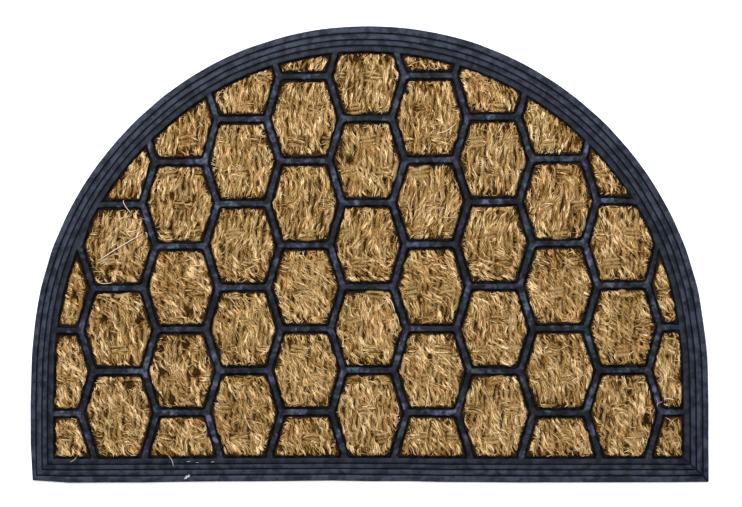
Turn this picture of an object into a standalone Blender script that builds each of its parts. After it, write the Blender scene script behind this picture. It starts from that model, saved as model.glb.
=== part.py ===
"""A half-round doormat: a panel of woven coir held in one moulding of black rubber.

The mat lies flat on the plane z = 0, with its straight edge towards -Y and the middle of its
footprint at the origin. The rubber is a thin backing sheet, a ramped border with three grooves, and
a honeycomb of ribs. The coir lies on the backing, passes under the ribs and fills the cells.
"""

from math import cos, pi, radians, sin, tan
from random import Random

import bmesh
import bpy
from mathutils import Matrix, Vector
from numpy import interp

MM = 0.001
GAP = 0.3 * MM
WELD = 0.001 * MM

# Outline: a half circle that stands on two short straight sides
MAT_WIDTH = 600 * MM
SIDE_LENGTH = 104 * MM
MAT_DEPTH = MAT_WIDTH / 2 + SIDE_LENGTH
ARC_STEPS = 64

# Heights above the underside
BACKING_TOP = 2.0 * MM
RIB_UNDERSIDE = 5.2 * MM
RIB_SHOULDER = 7.2 * MM
RIB_TOP = 8.0 * MM
BORDER_TOP = 8.2 * MM

# Border: a ramp that rises from its outer edge, with V-shaped grooves along it
BORDER_WIDTH = 21.9 * MM
EDGE_HEIGHT = 2.8 * MM
EDGE_CHAMFER = 0.7 * MM
GROOVE_PLACES = (5.3 * MM, 11.2 * MM, 16.6 * MM)
GROOVE_HALF_WIDTH = 0.7 * MM
GROOVE_DEPTH = 1.3 * MM
BACKING_OVERLAP = 8 * MM
RIB_OVERLAP = 2.5 * MM

# Honeycomb, measured along the middle of its ribs
COLUMN_PITCH = 55.75 * MM
ROW_PITCH = 74.66 * MM
CELL_HALF_WIDTH = 33.5 * MM
HONEYCOMB_CENTRE = Vector((-1.3 * MM, 9.1 * MM))
HONEYCOMB_TURN = radians(0.5)
COLUMNS_EACH_SIDE = 5
ROWS_EACH_SIDE = 3
BOTTOM_ROW = -2
CORNER_CUT = 2.0 * MM
LARGEST_CUT_SHARE = 1 / 3
SLIGHT_TURN = radians(8)
SMALLEST_OPENING = 150 * MM * MM
CUTTER_REACH = 1.0 * MM
# How far the ribs lie to the right of an even honeycomb: a place across the mat, the shift there
SIDEWAYS_SHIFTS = (
    (-274 * MM, 0.5 * MM),
    (-240 * MM, 1.7 * MM),
    (-205 * MM, 1.7 * MM),
    (-147 * MM, 1.1 * MM),
    (-83 * MM, 0.5 * MM),
    (-20 * MM, -0.3 * MM),
    (108 * MM, -0.4 * MM),
    (140 * MM, 0.2 * MM),
    (172 * MM, 2.1 * MM),
    (236 * MM, 2.1 * MM),
    (268 * MM, 1.0 * MM),
)
# How far they lie above it: a place up the mat, the shifts at its left, in its middle and at its right
UPWARD_SHIFTS = (
    (-130 * MM, 1.8 * MM, 1.0 * MM, -1.5 * MM),
    (-60 * MM, 0.6 * MM, -0.1 * MM, -1.3 * MM),
    (20 * MM, -0.4 * MM, -0.8 * MM, -0.7 * MM),
)
UPWARD_SHIFT_COLUMNS = (-180 * MM, 0.0, 120 * MM)

# Half the width of a rib at its foot, its shoulder and its top
RIB_FOOT_HALF = 3.4 * MM
RIB_SHOULDER_HALF = 3.1 * MM
RIB_TOP_HALF = 2.3 * MM

# Coir: its edge in a cell, from the middle of a rib and from the mat's edge
PAD_FROM_RIB = 4.8 * MM
PAD_FROM_EDGE = 24.0 * MM
# Levels of a pad: height above the mat's underside, share of the pad's outline, unevenness
PAD_LEVELS = (
    (4.0 * MM, 1.00, 0.0),
    (6.9 * MM, 0.99, 0.0),
    (8.3 * MM, 0.88, 0.35 * MM),
    (8.8 * MM, 0.45, 0.35 * MM),
)
PAD_SEED = 11

RUBBER_COLOUR = (0.032, 0.036, 0.055, 1.0)
RUBBER_ROUGHNESS = 0.55
COIR_COLOUR = (0.40, 0.25, 0.10, 1.0)
COIR_ROUGHNESS = 0.9


def clear_scene():
    for obj in list(bpy.data.objects):
        bpy.data.objects.remove(obj, do_unlink=True)


def new_collection(name):
    collection = bpy.data.collections.new(name)
    bpy.context.scene.collection.children.link(collection)
    return collection


def new_material(name, colour, roughness):
    material = bpy.data.materials.new(name)
    material.use_nodes = True
    shader = material.node_tree.nodes["Principled BSDF"]
    shader.inputs["Base Color"].default_value = colour
    shader.inputs["Roughness"].default_value = roughness
    shader.inputs["Metallic"].default_value = 0.0
    return material


def keep_as_helper(obj):
    """Marks a body that only shapes another one."""
    obj.hide_render = True
    obj.display_type = "WIRE"
    return obj


def join(body, other, operation):
    """Adds another body to this one, or cuts it away."""
    modifier = body.modifiers.new(other.name, "BOOLEAN")
    modifier.operation = operation
    modifier.solver = "EXACT"
    modifier.object = keep_as_helper(other)


def half_round(inset):
    """The mat's outline at this distance inside its edge, anticlockwise from the lower right corner."""
    radius = MAT_WIDTH / 2 - inset
    lowest = -MAT_DEPTH / 2 + inset
    arc_middle = -MAT_DEPTH / 2 + SIDE_LENGTH
    points = [Vector((radius, lowest))]
    for step in range(ARC_STEPS + 1):
        angle = pi * step / ARC_STEPS
        points.append(Vector((radius * cos(angle), arc_middle + radius * sin(angle))))
    points.append(Vector((-radius, lowest)))
    return points


def new_curve(name, points):
    """A closed flat curve through these points."""
    curve = bpy.data.curves.new(name, "CURVE")
    curve.dimensions = "2D"
    spline = curve.splines.new("POLY")
    spline.points.add(len(points) - 1)
    for knot, point in zip(spline.points, points, strict=True):
        knot.co = (point[0], point[1], 0.0, 1.0)
    spline.use_cyclic_u = True
    return curve


def body_from_curve(name, curve, collection, height=0.0):
    """Turns a curve into a closed mesh object that lies at this height."""
    source = bpy.data.objects.new(name + "_curve", curve)
    source.location.z = height
    collection.objects.link(source)
    bpy.context.view_layer.update()
    graph = bpy.context.evaluated_depsgraph_get()
    mesh = bpy.data.meshes.new_from_object(source.evaluated_get(graph))
    body = bpy.data.objects.new(name, mesh)
    body.matrix_world = source.matrix_world.copy()
    collection.objects.link(body)
    bpy.data.objects.remove(source, do_unlink=True)
    work = bmesh.new()
    work.from_mesh(mesh)
    bmesh.ops.remove_doubles(work, verts=work.verts, dist=WELD)
    bmesh.ops.recalc_face_normals(work, faces=work.faces)
    work.to_mesh(mesh)
    work.free()
    return body


def flat_plate(name, outline, low, high, collection):
    """A plate of this outline between two heights."""
    curve = new_curve(name, outline)
    curve.fill_mode = "BOTH"
    curve.extrude = (high - low) / 2
    return body_from_curve(name, curve, collection, (high + low) / 2)


def ramp_height(distance):
    """Height of the border's top, leaving out its grooves, at this distance from the outer edge."""
    foot = EDGE_HEIGHT + EDGE_CHAMFER
    ramp_end = GROOVE_PLACES[-1] + GROOVE_HALF_WIDTH
    share = (distance - EDGE_CHAMFER) / (ramp_end - EDGE_CHAMFER)
    return foot + min(1.0, share) * (BORDER_TOP - foot)


def border_section():
    """Corners of the border's section, each a distance from the outer edge and a height."""
    corners = [(0.0, 0.0), (0.0, EDGE_HEIGHT), (EDGE_CHAMFER, ramp_height(EDGE_CHAMFER))]
    for place in GROOVE_PLACES:
        near = place - GROOVE_HALF_WIDTH
        far = place + GROOVE_HALF_WIDTH
        corners.append((near, ramp_height(near)))
        corners.append((place, ramp_height(place) - GROOVE_DEPTH))
        corners.append((far, ramp_height(far)))
    corners.append((BORDER_WIDTH - EDGE_CHAMFER, BORDER_TOP))
    corners.append((BORDER_WIDTH, BORDER_TOP - EDGE_CHAMFER))
    corners.append((BORDER_WIDTH, 0.0))
    return corners


def border_ring(name, collection, helpers):
    """The border: its section swept round the outline, with mitred corners."""
    section = bpy.data.objects.new("border_section", new_curve("border_section", border_section()))
    helpers.objects.link(keep_as_helper(section))
    path = new_curve(name, half_round(0.0))
    path.bevel_mode = "OBJECT"
    path.bevel_object = section
    return body_from_curve(name, path, collection)


def cell_outline(clearance, bottom_row):
    """A cell's six corners about its centre, this far in from the middle of its ribs.

    A cell of the bottom row has no rib below it: its sides run on down into the border.
    """
    side_run = 2 * CELL_HALF_WIDTH - COLUMN_PITCH
    side_slope = side_run / (ROW_PITCH / 2)
    middle = CELL_HALF_WIDTH - clearance * (1 + side_slope**2) ** 0.5
    top = ROW_PITCH / 2 - clearance
    bottom = ROW_PITCH / 2 + BORDER_WIDTH / 2 if bottom_row else top
    return [
        Vector((middle, 0.0)),
        Vector((middle - side_slope * top, top)),
        Vector((side_slope * top - middle, top)),
        Vector((-middle, 0.0)),
        Vector((side_slope * bottom - middle, -bottom)),
        Vector((middle - side_slope * bottom, -bottom)),
    ]


def shifted(place):
    """Where a place of an even honeycomb lies in this one, whose mould was laid out by hand."""
    across, sideways = zip(*SIDEWAYS_SHIFTS, strict=True)
    heights, *columns = zip(*UPWARD_SHIFTS, strict=True)
    upwards = [interp(place.y, heights, column) for column in columns]
    shift = Vector((interp(place.x, across, sideways), interp(place.x, UPWARD_SHIFT_COLUMNS, upwards)))
    return place + shift


def placed(outline, centre):
    """The outline turned with the honeycomb and moved to a cell's centre."""
    turn = Matrix.Rotation(HONEYCOMB_TURN, 2)
    return [shifted(HONEYCOMB_CENTRE + turn @ (centre + point)) for point in outline]


def clipped(outline, boundary):
    """The part of a convex outline that lies inside a convex boundary, both anticlockwise."""
    for start, end in zip(boundary, boundary[1:] + boundary[:1], strict=True):
        kept = []
        inward = Vector((start.y - end.y, end.x - start.x)).normalized()
        for here, after in zip(outline, outline[1:] + outline[:1], strict=True):
            depth_here = (here - start).dot(inward)
            depth_after = (after - start).dot(inward)
            if depth_here >= 0:
                kept.append(here)
            if depth_here * depth_after < 0:
                kept.append(here.lerp(after, depth_here / (depth_here - depth_after)))
        outline = kept
        if not outline:
            break
    return outline


def area(outline):
    pairs = zip(outline, outline[1:] + outline[:1], strict=True)
    return sum(here.x * after.y - here.y * after.x for here, after in pairs) / 2


def with_cut_corners(outline):
    """The outline with each corner cut off, except for the slight turns along an arc."""
    rounded = []
    for index, corner in enumerate(outline):
        before = outline[index - 1] - corner
        after = outline[(index + 1) % len(outline)] - corner
        turn = pi - before.angle(after)
        if turn < SLIGHT_TURN:
            rounded.append(corner)
            continue
        shorter = min(before.length, after.length)
        cut = min(CORNER_CUT * tan(turn / 2), shorter * LARGEST_CUT_SHARE)
        rounded.append(corner + before.normalized() * cut)
        rounded.append(corner + after.normalized() * cut)
    return rounded


def open_cells():
    """Centre of each cell that is open, and whether it is in the bottom row."""
    well = half_round(PAD_FROM_EDGE)
    cells = []
    for column in range(-COLUMNS_EACH_SIDE, COLUMNS_EACH_SIDE + 1):
        odd_column = column % 2
        for row in range(-ROWS_EACH_SIDE, ROWS_EACH_SIDE + 1):
            centre = Vector((column * COLUMN_PITCH, (row + odd_column / 2) * ROW_PITCH))
            bottom_row = row == BOTTOM_ROW and not odd_column
            seen = clipped(placed(cell_outline(PAD_FROM_RIB, bottom_row), centre), well)
            if len(seen) > 2 and area(seen) > SMALLEST_OPENING:
                cells.append((centre, bottom_row))
    return cells


def stacked_body(sections):
    """A closed mesh through outlines of equal count, each a list of points going up."""
    work = bmesh.new()
    rings = [[work.verts.new(point) for point in section] for section in sections]
    for lower, upper in zip(rings, rings[1:], strict=False):
        for index in range(len(lower)):
            after = (index + 1) % len(lower)
            work.faces.new((lower[index], lower[after], upper[after], upper[index]))
    work.faces.new(rings[0][::-1])
    work.faces.new(rings[-1])
    return work


def joined_bodies(name, bodies, collection):
    """One object that holds several separate bodies."""
    work = bmesh.new()
    for body in bodies:
        piece = bpy.data.meshes.new(name)
        body.to_mesh(piece)
        body.free()
        work.from_mesh(piece)
        bpy.data.meshes.remove(piece)
    mesh = bpy.data.meshes.new(name)
    work.to_mesh(mesh)
    work.free()
    obj = bpy.data.objects.new(name, mesh)
    collection.objects.link(obj)
    return obj


def cell_cutter(centre, bottom_row):
    """The space above a cell: it widens upwards, which gives the ribs their sloping sides."""
    levels = (
        (RIB_UNDERSIDE - CUTTER_REACH, RIB_FOOT_HALF),
        (RIB_SHOULDER, RIB_SHOULDER_HALF),
        (RIB_TOP, RIB_TOP_HALF),
        (RIB_TOP + CUTTER_REACH, RIB_TOP_HALF),
    )
    sections = []
    for height, clearance in levels:
        outline = with_cut_corners(placed(cell_outline(clearance, bottom_row), centre))
        sections.append([point.to_3d() + Vector((0.0, 0.0, height)) for point in outline])
    return stacked_body(sections)


def honeycomb(collection):
    """The ribs: a plate with the cells cut out of it."""
    outline = half_round(BORDER_WIDTH - RIB_OVERLAP)
    ribs = flat_plate("honeycomb", outline, RIB_UNDERSIDE, RIB_TOP, collection)
    cutters = [cell_cutter(centre, bottom_row) for centre, bottom_row in open_cells()]
    join(ribs, joined_bodies("cell_cutters", cutters, collection), "DIFFERENCE")
    return ribs


def rubber_moulding(collection, helpers):
    """Border, backing sheet and honeycomb as one moulding."""
    moulding = border_ring("rubber_moulding", collection, helpers)
    backing_outline = half_round(BORDER_WIDTH - BACKING_OVERLAP)
    backing = flat_plate("backing_sheet", backing_outline, 0.0, BACKING_TOP, helpers)
    join(moulding, backing, "UNION")
    join(moulding, honeycomb(helpers), "UNION")
    return moulding


def coir_pad(centre, bottom_row, uneven):
    """The coir that stands up in one cell: a low crown, no two alike."""
    well = half_round(PAD_FROM_EDGE)
    whole = placed(cell_outline(PAD_FROM_RIB, bottom_row), centre)
    outline = with_cut_corners(clipped(whole, well))
    middle = sum(outline, Vector((0.0, 0.0))) / len(outline)
    sections = []
    for height, share, unevenness in PAD_LEVELS:
        section = []
        for point in outline:
            place = middle.lerp(point, share).to_3d()
            place.z = height + uneven.uniform(-unevenness, unevenness)
            section.append(place)
        sections.append(section)
    return stacked_body(sections)


def coir_panel(collection, helpers):
    """The woven coir: one sheet on the backing, pressed thin under the ribs and full in the cells."""
    outline = half_round(BORDER_WIDTH + GAP)
    low = BACKING_TOP + GAP
    panel = flat_plate("coir_panel", outline, low, RIB_UNDERSIDE - GAP, collection)
    uneven = Random(PAD_SEED)
    pads = [coir_pad(centre, bottom_row, uneven) for centre, bottom_row in open_cells()]
    join(panel, joined_bodies("coir_pads", pads, helpers), "UNION")
    return panel


def main():
    clear_scene()
    doormat = new_collection("coir_doormat")
    helpers = new_collection("helpers")
    helpers.hide_render = True
    rubber = rubber_moulding(doormat, helpers)
    rubber.data.materials.append(new_material("black_rubber", RUBBER_COLOUR, RUBBER_ROUGHNESS))
    coir = coir_panel(doormat, helpers)
    coir.data.materials.append(new_material("coir", COIR_COLOUR, COIR_ROUGHNESS))


main()
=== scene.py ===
"""A half-round coir doormat in its rubber moulding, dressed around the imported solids.

The rubber is remade with rounded ribs, a thin flash along their feet and small moulding faults. The
coir is a panel of matting with its yarns in a basket weave, and locks of fibres that lean across them.
All lengths are in metres and the mat lies on z = 0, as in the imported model.
"""

from math import cos, hypot, pi, radians, sin, sqrt, tan

import bmesh
import bpy
import numpy as np
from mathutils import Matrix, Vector


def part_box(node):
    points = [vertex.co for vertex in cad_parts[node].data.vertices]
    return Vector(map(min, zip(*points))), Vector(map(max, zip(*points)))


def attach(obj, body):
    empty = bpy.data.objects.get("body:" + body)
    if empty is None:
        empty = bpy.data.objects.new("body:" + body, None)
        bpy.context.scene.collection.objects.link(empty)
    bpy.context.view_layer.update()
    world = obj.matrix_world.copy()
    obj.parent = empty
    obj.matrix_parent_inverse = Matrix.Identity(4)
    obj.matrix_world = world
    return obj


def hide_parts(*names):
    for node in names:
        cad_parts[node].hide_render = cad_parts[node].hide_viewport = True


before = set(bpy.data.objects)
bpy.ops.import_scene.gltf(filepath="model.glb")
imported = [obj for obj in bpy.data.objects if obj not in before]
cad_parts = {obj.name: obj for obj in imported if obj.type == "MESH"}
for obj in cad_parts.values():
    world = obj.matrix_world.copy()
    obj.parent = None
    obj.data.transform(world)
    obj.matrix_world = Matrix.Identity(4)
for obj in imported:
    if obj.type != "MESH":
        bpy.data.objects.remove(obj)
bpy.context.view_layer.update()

MM = 0.001
rubber_low, rubber_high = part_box("rubber_moulding")
coir_low, coir_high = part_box("coir_panel")

# Photograph: its frame, the mat's straight edge and middle in it, and the scale
PHOTO_WIDTH_PX = 742
PHOTO_HEIGHT_PX = 507
PHOTO_MIDDLE_PX = 369.5
PHOTO_STRAIGHT_EDGE_PX = 482.5
PHOTO_MAT_WIDTH_PX = 677.5
PIXEL = (rubber_high.x - rubber_low.x) / PHOTO_MAT_WIDTH_PX

# Outline: a half circle on two short straight sides
HALF_WIDTH = rubber_high.x
LOWEST = rubber_low.y
ARC_MIDDLE = rubber_high.y - HALF_WIDTH
COIR_GAP = 0.3 * MM
BORDER_WIDTH = HALF_WIDTH - coir_high.x - COIR_GAP

# Heights of the rubber
BACKING_TOP = coir_low.z - COIR_GAP
BORDER_TOP = rubber_high.z
RIB_UNDERSIDE = 5.2 * MM
RIB_TOP = 8.0 * MM
EDGE_HEIGHT = 2.8 * MM
EDGE_ROUND = 0.8 * MM
GROOVE_PLACES = (5.3 * MM, 11.2 * MM, 16.6 * MM)
GROOVE_HALF_WIDTH = 0.72 * MM
GROOVE_DEPTH = 1.5 * MM
# Section of a groove, as shares of its half width and its depth
GROOVE_PROFILE = (
    (-1.25, 0.0), (-1.0, 0.12), (-0.75, 0.6), (-0.4, 1.0), (0.4, 1.0), (0.75, 0.6), (1.0, 0.12), (1.25, 0.0),
)
INNER_ROUND = 0.9 * MM
# Steps along the outlines that the moulding is made from, and how far inside the mat's edge they are
BORDER_STEP = 7 * MM
BACKING_INSET = 14 * MM
BACKING_STEP = 12 * MM
RIB_STEP = 9 * MM
RIB_OVERLAP = 2.5 * MM
FLASH_OVERLAP = 1.5 * MM

# Honeycomb, along the middle of its ribs
COLUMN_PITCH = 55.75 * MM
ROW_PITCH = 74.66 * MM
CELL_HALF_WIDTH = 33.5 * MM
SIDE_SLOPE = (2 * CELL_HALF_WIDTH - COLUMN_PITCH) / (ROW_PITCH / 2)
HONEYCOMB_CENTRE = (-1.3 * MM, 9.1 * MM)
HONEYCOMB_TURN = radians(0.5)
TURN_COS, TURN_SIN = cos(HONEYCOMB_TURN), sin(HONEYCOMB_TURN)
COLUMNS_EACH_SIDE = 5
ROWS_EACH_SIDE = 3
BOTTOM_ROW = -2
SMALLEST_OPENING = 150 * MM * MM
# How far the ribs lie to the right of an even honeycomb, in mm: a place across the mat, the shift there
SIDEWAYS_SHIFTS = (
    (-274, 0.5), (-240, 1.7), (-205, 1.7), (-147, 1.1), (-83, 0.5), (-20, -0.3),
    (108, -0.4), (140, 0.2), (172, 2.1), (236, 2.1), (268, 1.0),
)
# How far they lie above it, in mm: a place up the mat, the shifts at its left, middle and right
UPWARD_SHIFTS = (
    (-130, 1.8, 1.0, -1.5),
    (-60, 0.6, -0.1, -1.3),
    (20, -0.4, -0.8, -0.7),
)
UPWARD_SHIFT_COLUMNS = (-180 * MM, 0.0, 120 * MM)
# Section of a rib, from the flash at its foot upwards, in mm: height, half the rib's width there
RIB_LEVELS = (
    (4.20, 4.55), (5.25, 4.50), (5.40, 4.20), (5.45, 2.70), (6.40, 2.60),
    (7.20, 2.40), (7.65, 2.15), (7.92, 1.78), (8.00, 1.30), (9.00, 1.30),
)
CELL_CORNER_RADIUS = 3.2 * MM
FLASH_TOP = 5.55 * MM
FLASH_WIDTH = 1.7 * MM
# Nicks in the ribs: a place in the photograph, and the nick's heading in degrees
NICKS = ((272.4, 99.4, -18), (212, 407, 72))
NICK_WIDTH = 1.9 * MM
NICK_LENGTH = 9 * MM
NICK_FOOT = 6.2 * MM
# A seam along the mitre of the lower right corner, from the coir to the outer corner
SEAM_WIDTH = 1.5 * MM
SEAM_DEPTH = 2.0 * MM

# Coir: where a pad ends, and its heights
PAD_FROM_RIB = 4.75 * MM
PAD_FROM_EDGE = 23.9 * MM
PAD_TIP_RADIUS = 5.0 * MM
PAD_CROWN = 8.9 * MM
PAD_DROP = 1.7 * MM
PAD_SHOULDER = 3.2 * MM
PAD_UNEVEN = 0.25 * MM
MATTING_TOP = 4.9 * MM

# Basket weave: bands of warp yarns run up the mat, and crossing weft shows over every other band
WARP_BAND = 15.95 * MM
YARNS_IN_BAND = 4
YARN_PITCH = WARP_BAND / YARNS_IN_BAND
YARN_RADIUS = 2.1 * MM
WEFT_PITCH = 3.6 * MM
WEFT_HALF_SPAN = 10.5 * MM
WARP_SLOPE = 0.07
WARP_DIP = 3.3 * MM
WARP_DIP_HALF = 7.2 * MM
WARP_DIP_SHARE = 0.52
WARP_DIP_SPREAD = 0.44
# How far a band's yarns are spread, and how much closer they draw at the ends of a float
BAND_SPREAD = 1.05
BAND_CLOSING = 0.20
CLOSING_LENGTH = 13 * MM
WEFT_SLOPE = 0.05
WEFT_DIVE = 3.4 * MM
WEFT_LEVEL_RUN = 0.42 * WEFT_HALF_SPAN
WEFT_DIVE_RUN = 0.58 * WEFT_HALF_SPAN
# Rows of crossings, and how far down from the weave's centre they are
WEFT_ROWS = (-6, 2, 14)
WEFT_ROW_PLACES = (-169.8 * MM, 56.6 * MM, 365.0 * MM)
BANDS_EACH_SIDE = 22
YARN_STEP = 4.0 * MM
GROUND_STEP = 4.0 * MM
GROUND_RISE = 1.1 * MM
GROUND_SHOULDER = 2.5 * MM
STRAND_POINTS = 5

# How far the strands of the warp lean to the right on their way down, in degrees: a height in the
# photograph, and the leans there at these five places across it
STRAND_LEAN_COLUMNS = (97, 225, 355, 485, 630)
STRAND_LEANS = (
    (80, 0, -25, -19, 49, 0), (100, 0, 1, -1, 7, 0), (120, 0, 8, 18, 0, 0),
    (140, 0, -3, 17, -23, 16), (160, 0, -6, 26, 0, 16), (180, -39, 5, 16, 8, 41),
    (200, 0, -13, -8, -25, -11), (220, -11, 3, -13, -34, 21), (245, -27, -33, -34, 27, 32),
    (260, 39, 33, 54, 60, 31), (280, 35, 47, 60, 52, 35), (300, 60, 41, 29, 41, 43),
    (320, 6, 27, 14, -22, 34), (340, 20, 7, 16, 33, 60), (360, 25, 18, 42, 47, 8),
    (380, 25, 27, 33, 32, 21), (400, 25, 40, 19, 8, 14), (430, 38, 31, 14, 31, 26),
)
LOCK_PITCH = 5.7 * MM
LOCK_HALF_WIDTH = 1.3 * MM
LOCK_SPREAD = 1.0 * MM
LOCK_LEAN_SPREAD = radians(8)
FIBRE_LEAN_SPREAD = radians(7)
LOCK_BEND_LENGTH = 13 * MM
LOCK_DROOP = 1.9 * MM
FIBRE_DROOP = 1.7 * MM
DROOP_REACH = 8.2 * MM
# Painted shade darkens coir from the first to the second of these depths under the pad's top, and in a
# parting
SHADE_FROM = 0.4 * MM
SHADE_TO = 2.6 * MM
SHADE_PER_DEPTH = 0.165 / MM
PARTING_SHADE = 0.50
PARTING_DEPTH = 4.2 * MM
# How far the strands are pushed aside, all together, in waves of this length
STRAND_SWAY = 0.85 * MM
SWAY_LENGTH = 14 * MM
# Lighter and darker places, from tufts up to whole patches: how much, a length in mm, a seed
PATCH_TONES = ((0.060, 3, 70), (0.085, 6, 71), (0.125, 15, 72), (0.100, 42, 73), (0.035, 130, 74))
USUAL_TONE = 0.465
TONE_SPREAD = 0.22
BRIGHT_SHARE = 0.17
LEAST_STRAND = 2.5 * MM
# Fibres by kind: half their width from and to, and their reach from and to, in mm; what their tone gains
FIBRE_KINDS = {
    "weft": ((0.32, 0.68), (3.0, 6.4), -0.13),
    "loose": ((0.18, 0.42), (2.5, 7.0), 0.12),
    "rim": ((0.22, 0.42), (1.5, 3.6), 0.02),
}

# Places in the photograph, with a size in its pixels: holes between the yarns, and ruffled patches
PARTINGS = (
    (105, 320, 3.0), (139.5, 320, 2.6), (190, 311.5, 3.0), (76, 294, 1.7), (350, 160, 2.5),
    (384, 180, 2.2), (629.5, 393.5, 2.2), (644.5, 416, 2.0), (645, 421, 2.6), (172, 196, 2.0),
    (179, 259, 1.8), (221, 247, 2.0), (199, 225, 1.6), (419, 297, 1.8), (420.5, 303, 1.6),
    (108, 246, 1.5), (111, 268, 2.2), (187, 346, 3.5), (130, 384, 3.5), (163, 372, 3.0),
    (162, 349, 2.0), (172, 399, 2.2), (197, 371, 3.0),
)
RUFFLED = ((180, 372, 16), (117, 246, 20), (640, 404, 22))
# Straws that lie over the mat: three places of each curve in the photograph, its width in mm, its tone
# and how far it has bleached
STRAWS = (
    ((97.5, 262), (119, 247.8), (146, 232.5), 0.85, 0.95, 0.70),
    ((145.5, 232.7), (147.5, 234), (147.2, 239), 0.60, 0.90, 0.40),
    ((108.4, 250), (114, 245.5), (119.6, 241.9), 0.50, 0.90, 0.20),
    ((96.5, 264), (103, 261), (109, 257.5), 0.50, 0.85, 0.40),
    ((109, 257.5), (117, 254.5), (125, 258.8), 0.45, 0.85, 0.30),
    ((97.8, 280), (102.8, 283.3), (114, 282.3), 0.60, 0.90, 0.45),
    ((124.3, 200), (125.6, 205.5), (132.1, 213.5), 0.70, 0.70, 0.80),
    ((139, 217.5), (145.5, 219.5), (151.5, 222), 0.50, 0.18, 0.10),
    ((77, 456), (75.3, 458.8), (70.3, 461.9), 0.40, 0.30, 0.80),
    ((168.6, 455), (172.4, 460), (173.6, 465.6), 0.55, 0.40, 0.75),
    ((663, 398.8), (668, 398.2), (674, 400), 0.90, 1.00, 0.70),
    ((663, 403), (665, 404.5), (668, 405), 0.60, 0.95, 0.50),
    ((655.6, 405), (658, 402.5), (662, 401), 0.40, 0.25, 0.60),
    ((655, 397), (657, 402), (656, 407), 0.35, 0.25, 0.60),
    ((385, 295), (391.5, 302), (394.5, 312.5), 0.80, 1.00, 0.60),
    ((394.3, 312), (397.5, 318), (399, 325), 0.60, 0.90, 0.30),
    ((435.3, 133.6), (446, 131), (456.5, 123), 0.75, 1.00, 0.30),
    ((312, 270), (320, 274.5), (329, 281), 0.60, 0.95, 0.20),
    ((187, 461.3), (189, 461), (191, 461.3), 0.32, 0.50, 0.90),
    ((196, 462.4), (197.5, 462), (199, 462.2), 0.28, 0.50, 0.90),
    ((211, 461.8), (213, 461.4), (215, 461.4), 0.35, 0.50, 0.90),
)
# A fleck of lint on the border: its place in the photograph, its length and its heading
LINT_PLACE_PX = (187, 476.8)
LINT_LENGTH = 6.0 * MM
LINT_HEADING = radians(28)
LINT_HAIRS = 44
EDGE_WAVE = 0.15 * MM
EDGE_WAVE_LENGTH = 40 * MM
EDGE_WAVE_REACH = 30 * MM
# How far the moulding has drawn in from a true half round, in mm: at an angle about the arc's middle, in
# degrees anticlockwise from the right, and at a distance along the straight edge from its middle
ARC_DRAWN_IN = (
    (-19, -0.9), (-3, -0.7), (7, 1.6), (18, 1.2), (30, 1.2), (50, 0.8), (72, -0.4), (88, -0.3),
    (100, -0.9), (116, -0.9), (135, 0.4), (158, 0.5), (174, 1.0), (187, -0.7), (199, -0.4),
)
STRAIGHT_DRAWN_IN = (
    (-300, 0.0), (-252, -0.8), (-180, 0.1), (-110, 0.6), (-40, 1.2), (30, 0.8), (70, -0.1),
    (140, -0.4), (300, -0.1),
)
DRAWN_REACH = 45 * MM
# How much further the border has moved inwards, in mm: an angle, and the shifts there of its first groove
# and of its inner edge
ARC_BAND_SHIFTS = (
    (-10, 0.2, 0.4), (4, 0.7, 1.2), (32, 1.1, 1.8), (60, 1.4, 1.6), (88, 1.2, 1.0), (102, 0.8, 0.1),
    (116, 0.5, -0.5), (130, 0.9, 0.4), (158, 0.5, -0.2), (172, 0.3, -0.7), (190, -0.2, -1.3),
)
STRAIGHT_BAND_SHIFT = (1.0 * MM, -0.5 * MM)
BAND_SHIFT_REACH = 10 * MM
WORN_CORNER = 1.6 * MM
WORN_CORNER_REACH = 4.5 * MM
# How dark painted shade makes the rubber's low places, from 0 to 1, with the ribs' tops a little darker too:
# along the border, an inset and the share there
GROOVE_SHADE = 0.9
FLANK_SHADE = 0.64
FLANK_TOP = 7.80 * MM
TRENCH_TOP = 5.6 * MM
RIB_SHADE = 0.16
BORDER_SHADES = ((13 * MM, 0.02), (18 * MM, 0.50))


def photo_place(px, py):
    """A point of the photograph as a place on the mat."""
    return (px - PHOTO_MIDDLE_PX) * PIXEL, LOWEST + (PHOTO_STRAIGHT_EDGE_PX - py) * PIXEL


def wander(x, y, length, seed):
    """Slow, smooth unevenness between about -1 and 1, from crossed waves of about this length."""
    random = np.random.default_rng(seed)
    total = np.zeros(np.broadcast(x, y).shape)
    waves = 6
    for _ in range(waves):
        heading, start = random.uniform(0, 2 * pi, 2)
        run = 2 * pi * random.uniform(0.6, 1.5) / length
        total += np.sin((x * cos(heading) + y * sin(heading)) * run + start)
    return total / sqrt(waves)


# Outline of the mat and of its cells


def half_round(inset, step):
    """The mat's outline at this distance inside its edge, anticlockwise from the lower right corner.

    Its straight sides have longer steps, wider than the border, so that a section swept along it has
    clean mitres.
    """
    radius = HALF_WIDTH - inset
    low = LOWEST + inset
    side = np.linspace(low, ARC_MIDDLE, 3, endpoint=False)
    angles = np.linspace(0, pi, round(pi * radius / step))
    bottom = np.linspace(-radius, radius, round(2 * radius / (1.5 * BORDER_WIDTH)), endpoint=False)[1:]
    parts = (
        np.column_stack([np.full_like(side, radius), side]),
        np.column_stack([radius * np.cos(angles), ARC_MIDDLE + radius * np.sin(angles)]),
        np.column_stack([np.full_like(side, -radius), side])[::-1],
        np.column_stack([bottom, np.full_like(bottom, low)]),
    )
    return np.concatenate(parts)


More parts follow.
